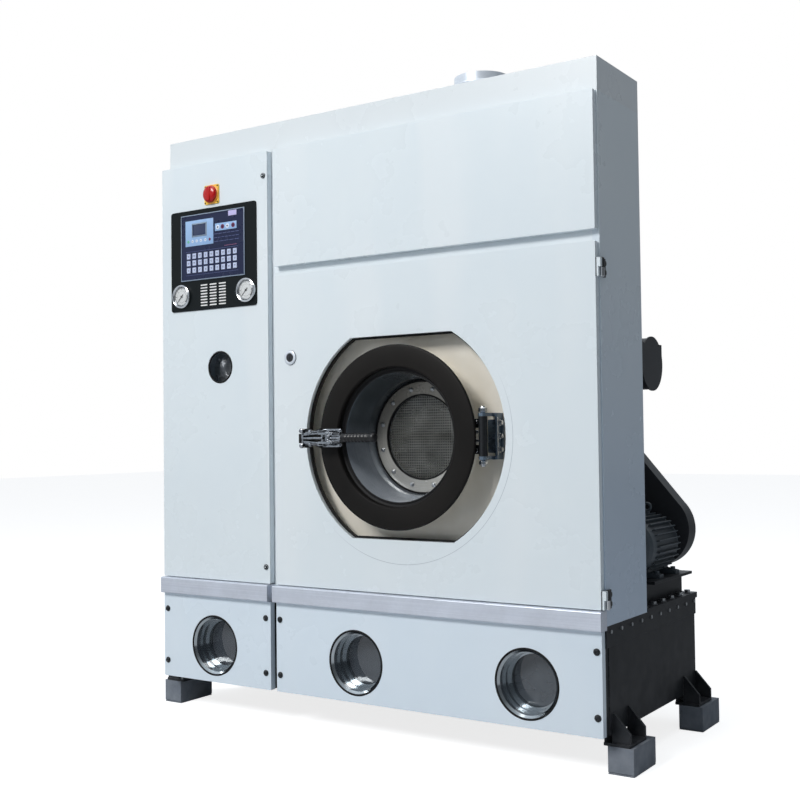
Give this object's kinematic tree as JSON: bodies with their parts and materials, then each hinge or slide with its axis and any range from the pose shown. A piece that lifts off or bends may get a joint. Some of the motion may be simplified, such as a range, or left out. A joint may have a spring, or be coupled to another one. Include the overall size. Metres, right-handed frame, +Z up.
{
  "type": "dry cleaning machine",
  "caption": "Front-loading dry cleaning machine: black solvent tank base with sight glasses, pale clad cabinet, control column, round bull's-eye loading door, rear belt drive.",
  "frame": {"origin": "centre of the bounding box in plan, on the floor", "axes": "+X to the right as seen from the front, +Y to the rear, +Z up; the loading door faces -Y"},
  "size_m": [1.626, 0.794, 1.868],
  "materials": {
    "cover_paint": "smooth pale blue powder coat",
    "hood_paint": "smooth pale blue powder coat",
    "tank_paint": "semi-gloss black enamel",
    "pad_paint": "dark grey cast blocks",
    "black_paint": "satin black",
    "motor_paint": "dark grey paint over castings",
    "frame_paint": "grey primer",
    "stainless": "brushed",
    "stainless_sheet": "fine brushed",
    "galvanised": "dull galvanised",
    "chrome": "polished",
    "zinc": "zinc plated",
    "rail_metal": "satin stainless",
    "dark_steel": "blackened",
    "rubber": "matte black",
    "panel_black": "fine matte black",
    "membrane": "satin membrane",
    "knob_red": "moulded",
    "plate_yellow": "moulded",
    "needle_black": "black paint",
    "glass": "clear"
  },
  "bodies": {
    "machine": {"base_tank": "tank_paint", "base_bolts": "zinc", "foot_pad_front_left": "pad_paint", "foot_pad_front_right": "pad_paint", "foot_pad_rear_left": "pad_paint", "foot_pad_rear_right": "pad_paint", "lower_panel_left": "cover_paint", "lower_panel_right": "cover_paint", "lower_panel_screws": "zinc", "sight_flange_left": "stainless", "sight_flange_middle": "stainless", "sight_flange_right": "stainless", "sight_glasses": "glass", "rail_left": "rail_metal", "rail_right": "rail_metal", "cabinet_frame": "frame_paint", "side_panel_left": "cover_paint", "side_panel_right": "cover_paint", "hood": "hood_paint", "upper_cover": "cover_paint", "exhaust_collar": "galvanised", "air_duct": "galvanised", "recovery_fan": "black_paint", "tub": "stainless", "tub_front_plate": "stainless_sheet", "bearing_housing": "dark_steel", "still_vessel": "stainless", "still_sight_port": "stainless", "motor_platform": "black_paint", "drive_motor": "motor_paint", "belt_guard": "black_paint", "service_hinges": "dark_steel", "tub_hinge_bracket": "stainless", "door_keeper": "dark_steel", "drive_belt": "rubber"},
    "control_cover": {"control_cover": "cover_paint", "control_plate": "panel_black", "keypad": "membrane", "switch_plate": "plate_yellow", "gauge_left": "chrome", "gauge_right": "chrome"},
    "switch_knob": {"switch_knob": "knob_red"},
    "gauge_needle_left": {"gauge_needle_left": "needle_black"},
    "gauge_needle_right": {"gauge_needle_right": "needle_black"},
    "service_door": {"service_door": "cover_paint"},
    "service_lock": {"service_lock": "zinc"},
    "loading_door": {"door_ring": "black_paint", "door_bowl": "stainless", "door_glass": "glass", "door_clamp_ring": "stainless", "door_clamp_bolts": "zinc", "door_gasket": "rubber", "door_hinge_arm": "dark_steel", "latch_base": "chrome"},
    "latch_lever": {"latch_lever": "chrome", "latch_grip": "rubber"},
    "latch_claw": {"latch_claw": "chrome"},
    "drum": {"drum": "stainless", "drum_pulley": "dark_steel"},
    "motor_pulley": {"motor_pulley": "dark_steel"}
  },
  "joints": [
    {"name": "control_cover_hinge", "type": "hinge", "parent": "machine", "child": "control_cover", "pos_m": [-0.7515, -0.283, 1.075], "axis": [0, 0, -1], "range_deg": [0, 100]},
    {"name": "main_switch_turn", "type": "hinge", "parent": "control_cover", "child": "switch_knob", "pos_m": [-0.541, -0.329, 1.626], "axis": [0, 1, 0], "range_deg": [0, 90]},
    {"name": "gauge_needle_left_turn", "type": "hinge", "parent": "control_cover", "child": "gauge_needle_left", "pos_m": [-0.67, -0.3204, 1.312], "axis": [0, 1, 0], "range_deg": [0, 270], "stiffness_Nm_per_rad": 0.0005},
    {"name": "gauge_needle_right_turn", "type": "hinge", "parent": "control_cover", "child": "gauge_needle_right", "pos_m": [-0.398, -0.3204, 1.312], "axis": [0, 1, 0], "range_deg": [0, 270], "stiffness_Nm_per_rad": 0.0005},
    {"name": "service_door_hinge", "type": "hinge", "parent": "machine", "child": "service_door", "pos_m": [0.766, -0.295, 0.86], "axis": [0, 0, 1], "range_deg": [0, 150]},
    {"name": "service_lock_turn", "type": "hinge", "parent": "service_door", "child": "service_lock", "pos_m": [-0.23, -0.293, 1.096], "axis": [0, -1, 0], "range_deg": [0, 90]},
    {"name": "loading_door_hinge", "type": "hinge", "parent": "machine", "child": "loading_door", "pos_m": [0.433, -0.326, 0.855], "axis": [0, 0, 1], "range_deg": [0, 135]},
    {"name": "latch_lever_swing", "type": "hinge", "parent": "loading_door", "child": "latch_lever", "pos_m": [-0.035, -0.385, 0.855], "axis": [0, 0, -1], "range_deg": [0, 110]},
    {"name": "latch_claw_swing", "type": "hinge", "parent": "loading_door", "child": "latch_claw", "pos_m": [-0.057, -0.385, 0.855], "axis": [0, 0, 1], "range_deg": [0, 27.5]},
    {"name": "drum_spin", "type": "hinge", "parent": "machine", "child": "drum", "pos_m": [0.161, 0.307, 0.855], "axis": [0, 1, 0], "continuous": true},
    {"name": "motor_pulley_spin", "type": "hinge", "parent": "machine", "child": "motor_pulley", "pos_m": [0.662, 0.347, 0.537], "axis": [0, 1, 0], "continuous": true}
  ],
  "couplings": [
    {"joint": "latch_claw_swing", "follows": "latch_lever_swing", "ratio": 0.25},
    {"joint": "motor_pulley_spin", "follows": "drum_spin", "ratio": 4.2903}
  ]
}
